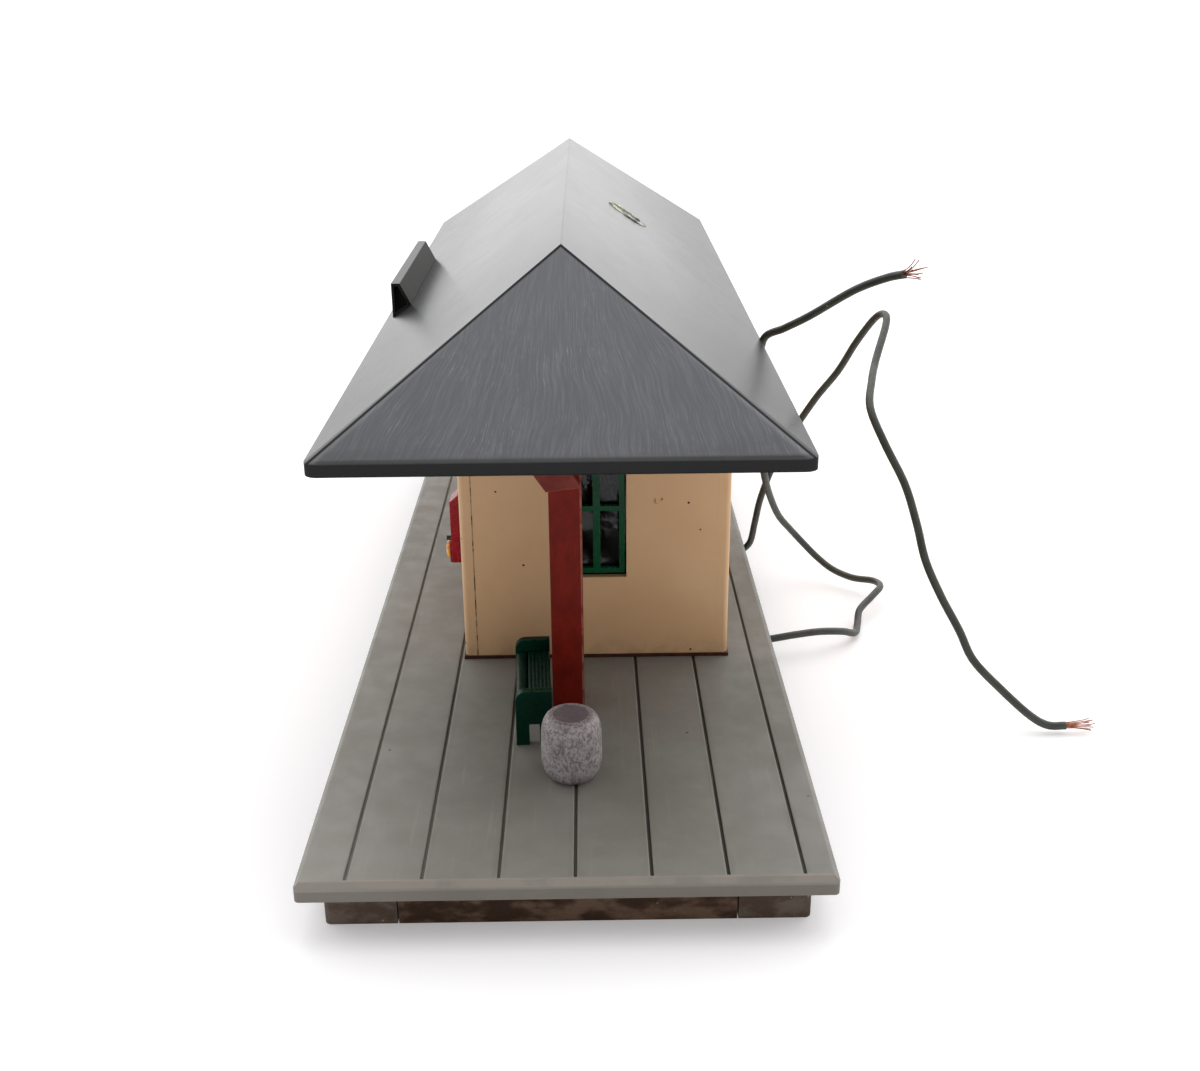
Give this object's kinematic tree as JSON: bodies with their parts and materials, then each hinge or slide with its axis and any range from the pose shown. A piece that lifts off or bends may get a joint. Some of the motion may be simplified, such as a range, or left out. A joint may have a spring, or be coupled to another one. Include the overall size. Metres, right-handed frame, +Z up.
{
  "type": "model railway station",
  "caption": "Model station with a planked platform, a lit house under a lift-off hipped roof, roof posts, bench, barrel, name board and two lamp leads.",
  "frame": {"origin": "middle of the platform on the surface the skirt rests on", "axes": "+X across the platform away from the track side, +Y along the platform away from the bench and barrel, +Z up"},
  "size_m": [0.2065, 0.39, 0.14],
  "materials": {
    "deck_paint": "matte, grooved planks, light scuffed edge",
    "skirt_paint": "matte, dusty",
    "skirt_dark": "matte, mottled dirt",
    "screw_steel": "bright zinc",
    "sole_paint": "satin red-brown",
    "wall_paint": "satin cream",
    "frame_green": "glossy bright green",
    "film_clear": "clear crinkled film",
    "door_brass": "polished",
    "box_red": "glossy red",
    "box_yellow": "rough orange-yellow",
    "knob_dark": "glossy dark",
    "roof_gloss": "glossy dark grey with fine scratches",
    "board_paint": "satin light grey top, dark face",
    "old_glue": "dried yellowish glue",
    "post_red": "satin brick red with brush streaks",
    "bench_green": "glossy dark green",
    "barrel_silver": "speckled silver-grey",
    "lamp_steel": "plated strip",
    "lamp_brass": "satin",
    "fibre_board": "pressed fibre",
    "spring_steel": "bright wire",
    "bulb_glass": "clear",
    "filament_wire": "fine wire",
    "rubber_black": "matte",
    "lead_sleeve": "dark olive grey insulation",
    "copper_wire": "bare copper strands"
  },
  "bodies": {
    "station": {"deck": "deck_paint", "skirt_near": "skirt_dark", "skirt_far": "skirt_dark", "skirt_track": "skirt_dark", "skirt_rear": "skirt_dark", "corner_blocks": "skirt_paint", "corner_screws": "screw_steel", "house_sole": "sole_paint", "wall_near": "wall_paint", "wall_far": "wall_paint", "wall_track": "wall_paint", "wall_rear": "wall_paint", "window_near": "frame_green", "window_far": "frame_green", "windows_track": "frame_green", "windows_rear": "frame_green", "door_frame": "frame_green", "door_panel": "frame_green", "door_knob": "door_brass", "film_near": "film_clear", "film_far": "film_clear", "film_track": "film_clear", "film_rear": "film_clear", "box_back": "box_red", "box_case": "box_red", "box_flap": "box_yellow", "box_knob": "knob_dark", "post_near": "post_red", "post_far": "post_red", "beam_near": "post_red", "beam_far": "post_red", "bracket_near": "post_red", "bracket_far": "post_red", "bench_end_near": "bench_green", "bench_end_far": "bench_green", "bench_slats": "bench_green", "bench_rail": "bench_green", "barrel_body": "barrel_silver", "barrel_head": "barrel_silver", "lamp_bracket": "lamp_steel", "bracket_screws": "screw_steel", "socket_shell": "lamp_brass", "socket_insulator": "fibre_board", "deck_grommet": "rubber_black", "exit_grommets": "rubber_black", "inner_lead_a": "lead_sleeve", "inner_lead_b": "lead_sleeve", "lead_a": "lead_sleeve", "lead_b": "lead_sleeve", "lead_a_strands": "copper_wire", "lead_b_strands": "copper_wire"},
    "roof": {"roof_shell": "roof_gloss", "name_board": "board_paint", "chimney_glue": "old_glue"},
    "bulb": {"bulb_cap": "lamp_brass", "bulb_glass": "bulb_glass", "bulb_filament": "filament_wire"},
    "contact": {"contact_plunger": "lamp_brass", "contact_spring": "spring_steel"}
  },
  "joints": [
    {"name": "roof_lift", "type": "slide", "parent": "station", "child": "roof", "axis": [0, 0, 1], "range_m": [0, 0.06]},
    {"name": "bulb_twist", "type": "hinge", "parent": "station", "child": "bulb", "pos_m": [0.0075, 0, 0.05], "axis": [0, 0, 1], "range_deg": [0, 20]},
    {"name": "contact_press", "type": "slide", "parent": "station", "child": "contact", "axis": [0, 0, -1], "range_m": [0, 0.001], "stiffness_N_per_m": 400, "springref_m": -0.001, "deforming": ["contact_spring"]}
  ]
}
